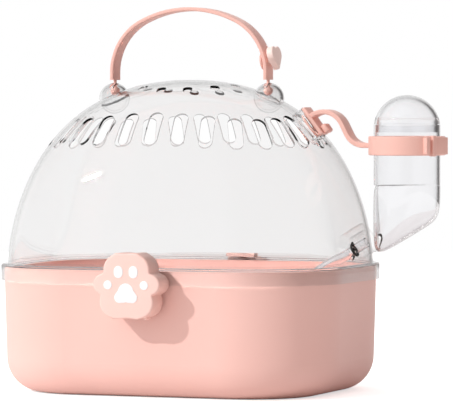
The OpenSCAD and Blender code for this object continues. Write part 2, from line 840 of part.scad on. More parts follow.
module bottle_elbow() {
    neck_l = port_boss_l + part_gap + 4 - neck_start;
    root_z = elbow_seam_z - spigot_h;
    color(CLEAR) difference() {
        union() {
            elbow_solid(0);
            translate([bottle_x, 0, root_z + 1]) cylinder(r = spigot_r, h = 2 * spigot_h - 1, $fn = 96);
            port_frame() translate([0, 0, neck_start]) cylinder(r = neck_r, h = neck_l);
        }
        intersection() {
            elbow_solid(bottle_wall);
            translate([bottle_x - bottle_d, -bottle_d, root_z - 2 * bottle_d])
                cube(2 * bottle_d);
        }
        translate([bottle_x, 0, root_z - 1])
            cylinder(r = spigot_r - spigot_wall, h = 2 * spigot_h + 2, $fn = 96);
        port_frame() {
            translate([0, 0, neck_start + neck_wall]) cylinder(r = neck_r - neck_wall, h = neck_l + 2);
            translate([0, 0, neck_start - 1])
                cylinder(d = spout_d + 2 * run_fit, h = neck_wall + 2);
        }
    }
}

module bottle_seal() {
    color(BLACK) port_frame() translate([0, 0, neck_start - seal_d / 2])
        rotate_extrude($fn = 48) translate([seal_r, 0]) circle(d = seal_d, $fn = 24);
}

module spout_tube() {
    color(CLEAR) port_frame() difference() {
        translate([0, 0, -spout_l]) cylinder(d = spout_d, h = spout_l + 10);
        translate([0, 0, -spout_l + lip_t]) cylinder(d = spout_d - 2 * spout_wall, h = spout_l + 12);
        translate([0, 0, -spout_l - 1]) cylinder(r = lip_r, h = 4);
    }
}

module spout_ball() {
    seat = -spout_l + lip_t + sqrt(ball_r * ball_r - lip_r * lip_r) + part_gap / 2;
    color(STEEL) port_frame() translate([0, 0, seat]) sphere(ball_r, $fn = 48);
}

// ---- Hanger ---------------------------------------------------------------

fall_l = (band_drop + (crest_r + sag_r) * cos(fall_turn) - sag_r) / sin(fall_turn);
sag_x = crest_x + (crest_r + sag_r) * sin(fall_turn) + fall_l * cos(fall_turn);
band_left_x = bottle_x - band_in_r - band_t / 2;

// Side view of the strap: over the crest, straight down the fall, round the
// sag and level into the band.
module hanger_curve() {
    arcs = [
        [crest_x, crest_z, crest_r, crest_first, fall_turn],
        [sag_x, band_z + sag_r, -sag_r, fall_turn, 0]
    ];
    polygon(concat(
        strip_side(arcs, band_t / 2),
        [[band_left_x, band_z + band_t / 2], [band_left_x, band_z - band_t / 2]],
        reversed(strip_side(arcs, -band_t / 2))
    ));
}

// Outside of the band with a low rib, the taller keeper and the tail it holds.
module hanger_band() {
    translate([bottle_x, 0, band_z - band_h / 2]) {
        cylinder(r = band_out_r, h = band_h, $fn = 96);
        rotate([0, 0, keeper_turn]) {
            translate([band_in_r + keeper_root, -keeper_step - keeper_w / 2, rib_step])
                cube([keeper_l, keeper_w, band_h - 2 * rib_step]);
            translate([band_in_r + keeper_root, -keeper_w / 2, -keeper_proud])
                cube([keeper_l, keeper_w, band_h + 2 * keeper_proud]);
            translate([band_out_r - rib_step, 0, rib_step]) rotate([0, 0, tail_turn])
                cube([tail_t, tail_l, band_h - 2 * rib_step]);
        }
    }
}

module hanger_strap() {
    color(ROSE) difference() {
        union() {
            rotate([90, 0, 0]) translate([0, 0, -strap_w / 2]) linear_extrude(strap_w)
                hanger_curve();
            hanger_band();
            hanger_frame() translate([-plate_l / 2, -strap_w / 2, -plate_t / 2])
                cube([plate_l, strap_w, plate_t]);
        }
        translate([bottle_x, 0, band_z - band_h]) cylinder(r = band_in_r, h = 2 * band_h, $fn = 96);
        hanger_frame() translate([stem_x - stem_l / 2 - part_gap, -stem_w / 2 - part_gap, -2 * plate_t])
            cube([stem_l + 2 * part_gap, stem_w + 2 * part_gap, 4 * plate_t]);
    }
}

module hanger_plug() {
    head_z = plate_t / 2 + part_gap;
    bar_z = boss_roof_z - part_gap;
    color(ROSE) hanger_frame() {
        translate([stem_x - stem_l / 2, -lug_w / 2, head_z]) cube([lug_l, lug_w, lug_h]);
        translate([stem_x - stem_l / 2, -stem_w / 2, bar_z - bar_t / 2])
            cube([stem_l, stem_w, head_z - bar_z + bar_t]);
        translate([bar_x, 0, bar_z - bar_t]) capsule(bar_l, bar_w, bar_t);
    }
}

tub();
dome_lid();
handle_strap();
handle_button();
handle_button_disc();
front_latch_paw();
front_latch_pads();
front_latch_hook();
front_latch_pin();
back_latch_paw();
back_latch_pads();
back_latch_hook();
back_latch_pin();
bottle_cap();
bottle_tube();
bottle_elbow();
bottle_seal();
spout_tube();
spout_ball();
hanger_strap();
hanger_plug();
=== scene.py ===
import math

import bmesh
import bpy
import numpy as np
from mathutils import Matrix, Vector


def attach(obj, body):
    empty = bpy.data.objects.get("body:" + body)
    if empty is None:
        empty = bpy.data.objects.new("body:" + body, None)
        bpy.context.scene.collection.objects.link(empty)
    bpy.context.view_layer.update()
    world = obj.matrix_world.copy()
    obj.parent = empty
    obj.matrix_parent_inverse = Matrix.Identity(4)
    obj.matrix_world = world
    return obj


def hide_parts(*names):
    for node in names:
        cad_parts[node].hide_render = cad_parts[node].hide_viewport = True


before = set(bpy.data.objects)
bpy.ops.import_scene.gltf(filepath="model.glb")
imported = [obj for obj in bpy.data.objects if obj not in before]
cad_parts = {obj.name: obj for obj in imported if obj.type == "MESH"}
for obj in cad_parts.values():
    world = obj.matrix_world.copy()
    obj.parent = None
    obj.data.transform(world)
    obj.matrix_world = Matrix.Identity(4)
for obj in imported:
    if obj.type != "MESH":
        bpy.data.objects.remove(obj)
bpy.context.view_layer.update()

bl_info = {
    "name": "Bird travel carrier",
    "version": (1, 0, 0),
    "blender": (4, 5, 0),
    "location": "View3D > Sidebar > Carrier",
    "description": "Builds the looks of a bird travel carrier round its CAD frame",
    "category": "Object",
}

MM = 0.001


def at(x, y, z):
    """A move in millimetres."""
    return Matrix.Translation((x, y, z))


def turned(degrees, axis):
    """A turn about one axis of the frame."""
    return Matrix.Rotation(math.radians(degrees), 4, axis)


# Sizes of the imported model, in millimetres and degrees, that the pieces below share.
# Lid: middle of the corners' circles, their radii, and the curve from rim to crown.
CORNER = (52.0, 28.5)
FLANGE_R = 63.0
FLANGE_TOP = 82.0
SKIRT_FOOT = 71.6
DOME_R = 58.7
DOME_H = 117.5
CROWN_Z = FLANGE_TOP + DOME_H
CROWN_SPREAD = 1.244
POWER_R = 0.927
POWER_Z = 1.21
# Vent slots: number, first turn, length and width, height, and dip towards the corners.
SLOT_COUNT = 28
SLOT_FIRST = 18.0
SLOT_SIZE = (25.0, 9.0)
SLOT_Z = FLANGE_TOP + 87.3
SLOT_DIP = 3.4
# Small vents: turn, height and radius. Crown vents: number, first turn, ring and radius.
SMALL_VENT = (4.5, FLANGE_TOP + 78.8, 3.25)
CROWN_VENTS = (12, 18.0, 34.0, 3.0)
# Handle: its sockets, the point it swings about, its strap, and the arcs of its arch.
SOCKET_X = 53.5
SOCKET_Z = CROWN_Z - 11.7
SOCKET_R = 9.8
SOCKET_WALL = 1.6
SWING = Vector((53.0, 0.0, CROWN_Z - 7.0))
STRAP_T = 2.4
STRAP_W = 12.5
ARC_R = 74.4
ARC_Z = CROWN_Z + 46.6 - ARC_R
SHOULDER_R = 38.0
SHOULDER_X = SWING.x + STRAP_T / 2 - SHOULDER_R
SHOULDER_Z = ARC_Z + math.sqrt((ARC_R - SHOULDER_R)**2 - SHOULDER_X**2)
TOP_TURN = math.degrees(math.atan2(SHOULDER_X, SHOULDER_Z - ARC_Z))
BUTTON_Z = CROWN_Z + 11.8
# Latches: place of the paw's back, its thickness and height, the pads' depth in
# its face, its hinge pin, and how much lower the back one sits.
PAW_BACK = 92.3
PAW_T = 16.7
PAW_Z = FLANGE_TOP - 10.5
PAD_DEPTH = 0.6
PIN = (99.0, PAW_Z - 13.5)
BACK_DROP = 10.0
# Bottle: its port in the lid, its axis and radius, and the seams of foot and cap.
PORT_AT = (111.0, FLANGE_TOP + 9.5)
PORT_MOUTH = 8.1
PORT_BORE = 5.1
BOTTLE_X = PORT_AT[0] + 35.4
BOTTLE_R = 21.0
ELBOW_SEAM = PORT_AT[1] + 41.3
CAP_SEAM = ELBOW_SEAM + 38.2
# Hanger: its plate, the strap's crest and sag, the slope between them, and the band.
HANG = (85.0, FLANGE_TOP + 0.7762 * DOME_H)
HANG_T = 3.0
CREST = (HANG[0] + 7.0, HANG[1] - 8.1)
CREST_R = 14.0
SAG_R = 12.7
FALL = math.radians(63.0)
BAND_Z = CREST[1] - 7.3
BAND_R = (21.3, 24.3)

# Frames of the port and the hanger's plate, and the front latch's way to the back one.
PORT = at(PORT_AT[0], 0.0, PORT_AT[1]) @ turned(60.0, "Y")
HANGER = at(HANG[0], 0.0, HANG[1]) @ turned(52.6, "Y")
BACK = turned(180.0, "Z") @ at(0.0, 0.0, -BACK_DROP)
# Stands a flat outline upright with its face along X.
UPRIGHT = turned(90.0, "Z") @ turned(90.0, "X")

# Which of the lid's materials a face takes; 0 is its wall.
SOCKET_SKIN, BURIED_SKIN, SLOT_SKIN = 1, 2, 3


# ---- Mesh helpers: everything is modelled in millimetres ---------------------


def moved(bm, matrix):
    """Moves a bmesh in place, and returns it."""
    bmesh.ops.transform(bm, matrix=matrix, verts=bm.verts)
    return bm


def add_to(target, source, matrix=Matrix.Identity(4)):
    """Adds a moved copy of source to target."""
    copy = moved(source.copy(), matrix)
    holder = bpy.data.meshes.new("holder")
    copy.to_mesh(holder)
    copy.free()
    target.from_mesh(holder)
    bpy.data.meshes.remove(holder)


def extruded(bm, edges):
    """Extrudes edges, and returns the new vertices and the new edges between them."""
    out = bmesh.ops.extrude_edge_only(bm, edges=edges)["geom"]
    verts = [g for g in out if isinstance(g, bmesh.types.BMVert)]
    edges = [g for g in out if isinstance(g, bmesh.types.BMEdge)]
    there = set(verts)
    return verts, [e for e in edges if there.issuperset(e.verts)]


def level_edges(bm, low=-math.inf, high=math.inf):
    """The edges whose two ends share one height between low and high."""
    flat = [e for e in bm.edges if abs(e.verts[0].co.z - e.verts[1].co.z) < 1e-6]
    return [e for e in flat if low < e.verts[0].co.z < high]


def soften(bm, edges, radius, segments):
    """Rounds edges."""
    bmesh.ops.bevel(
        bm, geom=list(edges), offset=radius, segments=segments, profile=0.5,
        affect="EDGES", material=-1, clamp_overlap=True,
    )


def cut_off(bm, point, normal, dist):
    """Cuts a bmesh at a plane and drops what lies on the normal's side."""
    bmesh.ops.bisect_plane(
        bm, geom=list(bm.verts) + list(bm.edges) + list(bm.faces), dist=dist,
        plane_co=point, plane_no=normal, clear_outer=True,
    )


def lathe(profile, steps=96, closed=False):
    """A profile of (radius, height) points, spun round Z."""
    bm = bmesh.new()
    verts = [bm.verts.new((r, 0.0, z)) for r, z in profile]
    pairs = list(zip(verts, verts[1:])) + ([(verts[-1], verts[0])] if closed else [])
    edges = [bm.edges.new(p) for p in pairs]
    bmesh.ops.spin(
        bm, geom=verts + edges, cent=(0, 0, 0), axis=(0, 0, 1), dvec=(0, 0, 0),
        angle=2 * math.pi, steps=steps, use_merge=True, use_duplicate=False,
    )
    bmesh.ops.remove_doubles(bm, verts=bm.verts, dist=1e-4)
    bmesh.ops.recalc_face_normals(bm, faces=bm.faces)
    return bm


def rod(radius, low, high, steps):
    """A cylinder along Z."""
    return lathe([(0, low), (radius, low), (radius, high), (0, high)], steps)


def ball(radius, centre, steps=48):
    """A sphere about a point."""
    bm = bmesh.new()
    bmesh.ops.create_uvsphere(bm, u_segments=steps, v_segments=steps // 2, radius=radius)
    bmesh.ops.translate(bm, vec=centre, verts=bm.verts)
    return bm


def rounded_box(size, radius, segments=3):
    """A box about the origin with rounded edges."""
    bm = bmesh.new()
    bmesh.ops.create_cube(bm, size=1.0)
    bmesh.ops.scale(bm, vec=size, verts=bm.verts)
    soften(bm, bm.edges, radius, segments)
    return bm


def prism(outline, depth):
    """A flat outline in XY, extruded up from z 0."""
    bm = bmesh.new()
    face = bm.faces.new([bm.verts.new((x, y, 0.0)) for x, y in outline])
    out = bmesh.ops.extrude_face_region(bm, geom=[face])["geom"]
    top = [g for g in out if isinstance(g, bmesh.types.BMVert)]
    bmesh.ops.translate(bm, vec=(0, 0, depth), verts=top)
    bmesh.ops.recalc_face_normals(bm, faces=bm.faces)
    return bm


def arc(centre, radius, start, end, steps):
    """Points on a flat arc, angles in degrees."""
    turns = [math.radians(start + (end - start) * i / steps) for i in range(steps + 1)]
    return [(centre[0] + radius * math.cos(t), centre[1] + radius * math.sin(t)) for t in turns]


def capsule(length, width, steps=16):
    """Outline of a slot with round ends along X."""
    half = (length - width) / 2
    return arc((half, 0), width / 2, -90, 90, steps) + arc((-half, 0), width / 2, 90, 270, steps)


def sweep(outline, moves):
    """Carries a closed outline of 3-D points along moves, and closes both ends flat.

    A move is ("line", vector, steps), or ("arc", middle, degrees, steps) about an axis along Y.
    """
    bm = bmesh.new()
    verts = [bm.verts.new(p) for p in outline]
    edges = [bm.edges.new((verts[i - 1], verts[i])) for i in range(len(verts))]
    bm.faces.new(verts)
    for kind, where, *how in moves:
        if kind == "line":
            steps, = how
            for _ in range(steps):
                ends, edges = extruded(bm, edges)
                bmesh.ops.translate(bm, vec=Vector(where) / steps, verts=ends)
        else:
            degrees, steps = how
            ends = list(dict.fromkeys(v for e in edges for v in e.verts))
            out = bmesh.ops.spin(
                bm, geom=edges + ends, cent=where,
                axis=(0, 1, 0), dvec=(0, 0, 0), angle=math.radians(degrees), steps=steps,
                use_merge=False, use_duplicate=False,
            )["geom_last"]
            edges = [g for g in out if isinstance(g, bmesh.types.BMEdge)]
    bmesh.ops.edgeloop_fill(bm, edges=edges)
    bmesh.ops.recalc_face_normals(bm, faces=bm.faces)
    return bm


def scratch(bm):
    """A scratch object that takes over a bmesh, for a modifier to work on."""
    mesh = bpy.data.meshes.new("scratch")
    bm.to_mesh(mesh)
    bm.free()
    thing = bpy.data.objects.new("scratch", mesh)
    bpy.context.scene.collection.objects.link(thing)
    return thing


def collected(*things):
    """The first scratch object with its modifiers applied, as a bmesh; all of them go."""
    bm = bmesh.new()
    bm.from_object(things[0], bpy.context.evaluated_depsgraph_get())
    for thing in things:
        mesh = thing.data
        bpy.data.objects.remove(thing)
        bpy.data.meshes.remove(mesh)
    return bm


def boolean(bm, tool, operation, tangled=False):
    """bm joined with, or cut by, another closed bmesh; both are used up."""
    base, other = scratch(bm), scratch(tool)
    cut = base.modifiers.new("cut", "BOOLEAN")
    cut.operation, cut.object, cut.solver, cut.use_self = operation, other, "EXACT", tangled
    return collected(base, other)


def thicken(bm, wall):
    """Gives an open skin a wall of even thickness on its inner side."""
    base = scratch(bm)
    shell = base.modifiers.new("wall", "SOLIDIFY")
    shell.thickness, shell.offset, shell.use_even_offset = wall, -1.0, True
    return collected(base)


def finish_piece(name, bm, body, material, replaces=(), sharp=32.0):
    """Turns a bmesh in millimetres into a piece in metres that rides on its body.

    Edges that bend by more than sharp degrees stay crisp.
    """
    bmesh.ops.scale(bm, vec=(MM, MM, MM), verts=bm.verts)
    mesh = bpy.data.meshes.new(name)
    bm.to_mesh(mesh)
    bm.free()
    mesh.polygons.foreach_set("use_smooth", [True] * len(mesh.polygons))
    mesh.set_sharp_from_angle(angle=math.radians(sharp))
    mesh.materials.append(material)
    piece = bpy.data.objects.new(name, mesh)
    bpy.context.scene.collection.objects.link(piece)
    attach(piece, body)
    if replaces:
        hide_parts(*replaces)
    return piece


# ---- Materials ----------------------------------------------------------------


def linear(code):
    """An sRGB hex colour as linear red, green and blue."""
    parts = [int(code[i:i + 2], 16) / 255 for i in (1, 3, 5)]
    return tuple(c / 12.92 if c <= 0.04045 else ((c + 0.055) / 1.055) ** 2.4 for c in parts)


def rgba(code):
    """An sRGB hex colour as a colour socket takes it."""
    return (*linear(code), 1.0)


def add_node(tree, kind, inputs=None, **settings):
    """Adds one node; settings are its properties, inputs its socket values or links."""
    node = tree.nodes.new(kind)
    for name, value in settings.items():
        setattr(node, name, value)
    for key, value in (inputs or {}).items():
        if isinstance(value, bpy.types.NodeSocket):
            tree.links.new(value, node.inputs[key])
        else:
            node.inputs[key].default_value = value
    return node


def made_once(recipe):
    """Turns a recipe for a surface into a function that makes each named material once."""
    def make(name, *settings):
        if name in bpy.data.materials:
            return bpy.data.materials[name]
        material = bpy.data.materials.new(name)
        material.use_nodes = True
        tree = material.node_tree
        tree.nodes.clear()
        place = add_node(tree, "ShaderNodeTexCoord").outputs["Object"]
        shader = recipe(tree, place, *settings)
        add_node(tree, "ShaderNodeOutputMaterial", {"Surface": shader.outputs[0]})
        return material
    return make


def per_mm(size):
    """The scale of a pattern that repeats every size millimetres, on coordinates in metres."""
    return 1.0 / (size * MM)


@made_once
def moulded(tree, place, pale, deep, rough, grit, depth, sheen=0.0):
    """Opaque plastic or rubber from a mould.

    Slow clouds of 55 mm between two close tones are how the melt's pigment spreads.
    A fine grain comes from the mould's blasted wall. The real one is about 0.1 mm, too fine
    to show, so it is drawn coarser, at grit millimetres, and depth millimetres deep.
    """
    clouds = add_node(tree, "ShaderNodeTexNoise", {
        "Vector": place, "Scale": per_mm(55.0), "Detail": 3.0,
    })
    tone = add_node(tree, "ShaderNodeMix", {
        0: clouds.outputs["Fac"], 6: (*pale, 1.0), 7: (*deep, 1.0),
    }, data_type="RGBA")
    grain = add_node(tree, "ShaderNodeTexNoise", {
        "Vector": place, "Scale": per_mm(grit), "Detail": 2.0,
    })
    gloss = add_node(tree, "ShaderNodeMapRange", {
        "Value": grain.outputs["Fac"], "To Min": rough - 0.05, "To Max": rough + 0.06,
    })
    bump = add_node(tree, "ShaderNodeBump", {
        "Height": grain.outputs["Fac"], "Strength": 0.25, "Distance": depth * MM,
    })
    return add_node(tree, "ShaderNodeBsdfPrincipled", {
        "Base Color": tone.outputs[2], "Roughness": gloss.outputs["Result"],
        "Normal": bump.outputs["Normal"], "IOR": 1.49, "Sheen Weight": sheen,
        "Sheen Roughness": 0.4,
    })


@made_once
def clear_plastic(tree, place, tint, edge, start, bend):
    """Clear moulded plastic; lamps shine through it, so what it covers stays lit.

    Waves of 38 mm are the flow of the melt, which bends reflections a little.
    edge is a painted shade: the grey tint of a wall seen edge on, standing in for the darker
    look that clear plastic has at its edges. It sets in at start, on the way from 0 face on to
    1 edge on. bend is the refractive index, lower than the plastic's own where the real wall is
    thinner than the modelled one.
    """
    flow = add_node(tree, "ShaderNodeTexNoise", {
        "Vector": place, "Scale": per_mm(38.0), "Detail": 1.0,
    })
    bump = add_node(tree, "ShaderNodeBump", {
        "Height": flow.outputs["Fac"], "Strength": 0.3, "Distance": 0.01 * MM,
    })
    # Painted shade: the tint turns grey towards edge on.
    facing = add_node(tree, "ShaderNodeLayerWeight", {"Blend": 0.5})
    depth = add_node(tree, "ShaderNodeMapRange", {
        "Value": facing.outputs["Facing"], "From Min": start,
    })
    tone = add_node(tree, "ShaderNodeMix", {
        0: depth.outputs["Result"], 6: rgba(tint), 7: rgba(edge),
    }, data_type="RGBA")
    glass = add_node(tree, "ShaderNodeBsdfPrincipled", {
        "Base Color": tone.outputs[2], "Roughness": 0.0, "IOR": bend,
        "Transmission Weight": 1.0, "Normal": bump.outputs["Normal"],
    })
    through = add_node(tree, "ShaderNodeBsdfTransparent", {"Color": rgba("#f4f4f4")})
    path = add_node(tree, "ShaderNodeLightPath")
    return add_node(tree, "ShaderNodeMixShader", {
        0: path.outputs["Is Shadow Ray"], 1: glass.outputs["BSDF"], 2: through.outputs["BSDF"],
    })


@made_once
def clear_film(tree, place, tint, edge):
    """Clear skin too thin to bend the view: it only tints it, more so edge on, and glints.

    Waves of 6 mm are the marks of the tool that trimmed the moulding, drawn coarser than the
    real ones, which are under 1 mm. The low index and share keep the glint faint.
    """
    marks = add_node(tree, "ShaderNodeTexNoise", {
        "Vector": place, "Scale": per_mm(6.0), "Detail": 1.0,
    })
    bump = add_node(tree, "ShaderNodeBump", {
        "Height": marks.outputs["Fac"], "Strength": 0.2, "Distance": 0.05 * MM,
    })
    normal = {"Normal": bump.outputs["Normal"]}
    # Painted shade: the tint turns grey towards edge on.
    facing = add_node(tree, "ShaderNodeLayerWeight", {"Blend": 0.25, **normal})
    tone = add_node(tree, "ShaderNodeMix", {
        0: facing.outputs["Facing"], 6: rgba(tint), 7: rgba(edge),
    }, data_type="RGBA")
    through = add_node(tree, "ShaderNodeBsdfTransparent", {"Color": tone.outputs[2]})
    glint = add_node(tree, "ShaderNodeBsdfGlossy", {"Roughness": 0.06, **normal})
    share = add_node(tree, "ShaderNodeFresnel", {"IOR": 1.07, **normal})
    faint = add_node(tree, "ShaderNodeMath", {
        0: share.outputs["Fac"], 1: 0.3,
    }, operation="MULTIPLY")
    return add_node(tree, "ShaderNodeMixShader", {
        0: faint.outputs[0], 1: through.outputs["BSDF"], 2: glint.outputs["BSDF"],
    })


@made_once
def drawn_steel(tree, place):
    """Stainless steel drawn through a die: bright, softened by fine streaks along X.

    The real streaks are about 0.05 mm apart, too fine to show, and are drawn at 0.4 mm.
    """
    stretch = add_node(tree, "ShaderNodeMapping", {"Vector": place, "Scale": (0.05, 1.0, 1.0)})
    streaks = add_node(tree, "ShaderNodeTexNoise", {
        "Vector": stretch.outputs["Vector"], "Scale": per_mm(0.4), "Detail": 2.0,
    })
    gloss = add_node(tree, "ShaderNodeMapRange", {
        "Value": streaks.outputs["Fac"], "To Min": 0.15, "To Max": 0.35,
    })
    return add_node(tree, "ShaderNodeBsdfPrincipled", {
        "Base Color": rgba("#d2d3d5"), "Metallic": 1.0,
        "Roughness": gloss.outputs["Result"],
    })


@made_once
def opal_sheet(tree, place, glow):
    """Acrylic cast as an opal sheet: white, dull and a little cloudy, with soft shadows.

    What the camera sees of it is lifted to the backdrop's white.
    """
    clouds = add_node(tree, "ShaderNodeTexNoise", {
        "Vector": place, "Scale": per_mm(90.0), "Detail": 2.0,
    })
    gloss = add_node(tree, "ShaderNodeMapRange", {
        "Value": clouds.outputs["Fac"], "To Min": 0.85, "To Max": 0.95,
    })
    path = add_node(tree, "ShaderNodeLightPath")
    lift = add_node(tree, "ShaderNodeMath", {
        0: path.outputs["Is Camera Ray"], 1: glow,
    }, operation="MULTIPLY")
    return add_node(tree, "ShaderNodeBsdfPrincipled", {
        "Base Color": rgba("#f6f6f6"), "Roughness": gloss.outputs["Result"],
        "Emission Color": rgba("#ffffff"), "Emission Strength": lift.outputs[0],
    })


def tub_plastic():
    """Polypropylene, satin moulded: waxy, so the pink is even and its highlight wide and soft."""
    hue = bpy.context.scene.carrier_colours
    return moulded("polypropylene_moulded_satin", hue.tub_pale, hue.tub_deep, 0.42, 0.7, 0.05)


def paw_plastic():
    """ABS, matt moulded: harder and drier than the tub, a paler pink with crisper edges."""
    hue = bpy.context.scene.carrier_colours
    return moulded("abs_moulded_matt", hue.paw_pale, hue.paw_deep, 0.38, 0.6, 0.04)


def strap_rubber():
    """Silicone, moulded soft: dull and slightly powdery, with a faint bloom at grazing angles."""
    hue = bpy.context.scene.carrier_colours
    return moulded("silicone_moulded_soft", hue.strap_pale, hue.strap_deep, 0.5, 0.5, 0.03, 0.15)


def heart_rubber():
    """Silicone in a paler pink, lightened further as painted light for the fill on its upturned
    face: the same soft bloom.
    """
    hue = bpy.context.scene.carrier_colours
    return moulded("silicone_pale_painted_lit", hue.heart_pale_and_lit, hue.heart_deep_and_lit, 0.45, 0.5, 0.02, 0.1)


def pad_plastic():
    """White ABS, moulded smooth: clean and bright, glossier than the paw round it."""
    white, shade = linear("#ffffff"), linear("#fafbfb")
    return moulded("abs_moulded_white", white, shade, 0.3, 0.6, 0.02)


def seal_rubber():
    """Nitrile rubber, moulded: near black and dull, so it reads as a dark ring."""
    black, worn = linear("#141414"), linear("#1b1b1c")
    return moulded("nitrile_rubber_moulded", black, worn, 0.55, 0.5, 0.05)


def lid_plastic():
    """Polystyrene, moulded clear: hard gloss, nearly unseen face on and grey edge on."""
    # The grey edge tint is painted shade.
    return clear_plastic("polystyrene_moulded_clear", "#f9f9f9", "#a6a6a6", 0.72, 1.28)


def bottle_plastic():
    """PCTG, blown clear: water clear, with darker lines where its round wall turns away."""
    # The darker lines where the round wall turns away are painted shade.
    return clear_plastic("pctg_blown_clear", "#fbfbfc", "#8e8e8e", 0.6, 1.4)


def socket_plastic():
    """Polystyrene in thick lumps: bends the view at its full index, like a glass bead."""
    # Its grey tint and its darker edge tint are painted shade that darkens its arcs.
    return clear_plastic("polystyrene_solid_clear", "#f0f0f0", "#9a9a9a", 0.72, 1.59)


def slot_film():
    """Polystyrene at a trimmed edge: a grey line that draws each slot."""
    # The grey line is painted shade.
    return clear_film("polystyrene_cut_edge_clear", "#f4f4f4", "#a8a8a8")


def socket_film():
    """Polystyrene under the dome: thin, and all but lost behind the outer wall's gloss."""
    # Its faint edge tint is painted shade.
    return clear_film("polystyrene_thin_wall_clear", "#ffffff", "#fafafa")


def port_plastic():
    """Polystyrene in the port's thin ring: faint, with a pale grey rim."""
    # The pale grey rim is painted shade.
    return clear_film("polystyrene_thin_film_clear", "#ffffff", "#f3f1f1")


def neck_plastic():
    """PCTG in the bottle's thin neck: faint, its thread only just drawn."""
    # The faint grey that draws its thread is painted shade.
    return clear_film("pctg_thin_film_clear", "#ffffff", "#f0f0f0")


# ---- Dome geometry -------------------------------------------------------------


def rim_reach(turn, radius):
    """Distance from the middle to the rounded rectangle with that corner radius."""
    c, s = np.maximum(np.abs(np.cos(turn)), 1e-6), np.maximum(np.abs(np.sin(turn)), 1e-6)
    hx, hy = CORNER[0] + radius, CORNER[1] + radius
    along = CORNER[0] * c + CORNER[1] * s
    corner = along + np.sqrt(np.maximum(along**2 - CORNER[0]**2 - CORNER[1]**2 + radius**2, 0))
    long_side = np.where(hy / s * c <= CORNER[0], hy / s, corner)
    return np.where(hx / c * s <= CORNER[1], hx / c, long_side)


def dome_reach(turn, rise):
    """Radius of the dome in the direction turn; rise runs from 0 at the rim to a quarter turn."""
    hx, hy = (CORNER[0] + DOME_R) * CROWN_SPREAD, (CORNER[1] + DOME_R) * CROWN_SPREAD
    crown = 1 / np.sqrt((np.cos(turn) / hx)**2 + (np.sin(turn) / hy)**2)
    share = np.sin(rise)**2
    level = rim_reach(turn, DOME_R) * (1 - share) + crown * share
    return level * np.maximum(np.cos(rise), 0)**POWER_R


def dome_height(rise):
    """Height of the dome at that rise."""
    return FLANGE_TOP + DOME_H * np.sin(rise)**POWER_Z


def dome_rise(z):
    """The rise at which the dome has that height."""
    return math.asin(((z - FLANGE_TOP) / DOME_H)**(1 / POWER_Z))


def on_dome(turn, z):
    """Frame on the dome's outside: Z outwards, X down the steepest slope."""
    rise = dome_rise(z)
    step = math.radians(2.0)
    reach = float(dome_reach(turn, rise))
    growth = float(dome_reach(turn + step, rise) - dome_reach(turn - step, rise)) / (2 * step)
    heading = turn - math.atan2(growth, reach)
    drop = float(dome_height(rise + step) - dome_height(rise - step))
    lean = float(dome_reach(turn, rise - step) - dome_reach(turn, rise + step))
    return (
        at(reach * math.cos(turn), reach * math.sin(turn), z)
        @ Matrix.Rotation(heading, 4, "Z")
        @ Matrix.Rotation(math.atan2(drop, lean * math.cos(heading - turn)), 4, "Y")
    )


def slot_place(k):
    """Frame of vent slot k on the dome."""
    mid = math.radians(SLOT_FIRST + (360 - 2 * SLOT_FIRST) * k / (SLOT_COUNT - 1))
    across, along = (CORNER[1] + DOME_R) * math.sin(mid), (CORNER[0] + DOME_R) * math.cos(mid)
    return on_dome(math.atan2(across, along), SLOT_Z - SLOT_DIP * math.sin(2 * mid)**2)


def lid_skin():
    """Outside of the dome, its flange and its hanging skirt, as one open skin."""
    bm = bmesh.new()
    bmesh.ops.create_uvsphere(bm, u_segments=176, v_segments=104, radius=1.0)
    cut_off(bm, (0, 0, 0), (0, 0, -1), 1e-5)
    for v in bm.verts:
        turn, rise = math.atan2(v.co.y, v.co.x), math.asin(max(0.0, min(1.0, v.co.z)))
        reach = float(dome_reach(turn, rise))
        v.co = (reach * math.cos(turn), reach * math.sin(turn), float(dome_height(rise)))
    lip, fillet = 0.9, 0.35
    profile = [(DOME_R + fillet, FLANGE_TOP), (FLANGE_R - lip, FLANGE_TOP)]
    profile += arc((FLANGE_R - lip, FLANGE_TOP - lip), lip, 60, 0, 2)
    profile += [(FLANGE_R, (FLANGE_TOP + SKIRT_FOOT) / 2), (FLANGE_R, SKIRT_FOOT)]
    edges = [e for e in bm.edges if e.is_boundary]
    for radius, z in profile:
        verts, edges = extruded(bm, edges)
        for v in verts:
            turn = math.atan2(v.co.y, v.co.x)
            reach = float(rim_reach(turn, radius))
            v.co = (reach * math.cos(turn), reach * math.sin(turn), z)
    bmesh.ops.recalc_face_normals(bm, faces=bm.faces)
    return bm


# ---- Properties ---------------------------------------------------------------


def length(name, description, default, low, high):
    """A length that a user may change, in metres."""
    return bpy.props.FloatProperty(
        name=name, description=description, default=default, min=low, max=high,
        precision=4, unit="LENGTH",
    )


def colour(name, description, code):
    """A colour that a user may change, from its sRGB hex value."""
    return bpy.props.FloatVectorProperty(
        name=name, description=description, default=linear(code), min=0.0, max=1.0,
        size=3, subtype="COLOR",
    )


def brightness(name, description, default, high=2.0):
    """A strength of light that a user may change."""
    return bpy.props.FloatProperty(
        name=name, description=description, default=default, min=0.0, max=high,
    )


class CarrierSizes(bpy.types.PropertyGroup):
    """Sizes that shape the looks without moving the frame."""
    clear_wall: length("Clear wall", "Wall thickness of the clear lid", 0.0016, 0.001, 0.002)
    bottle_wall: length("Bottle wall", "Wall thickness of the bottle", 0.0015, 0.001, 0.002)
    paw_edge: length("Paw edge", "Radius of the paws' soft front edge", 0.0034, 0.001, 0.005)
    strap_edge: length("Strap edge", "Radius of the straps' long edges", 0.0006, 0.0002, 0.001)


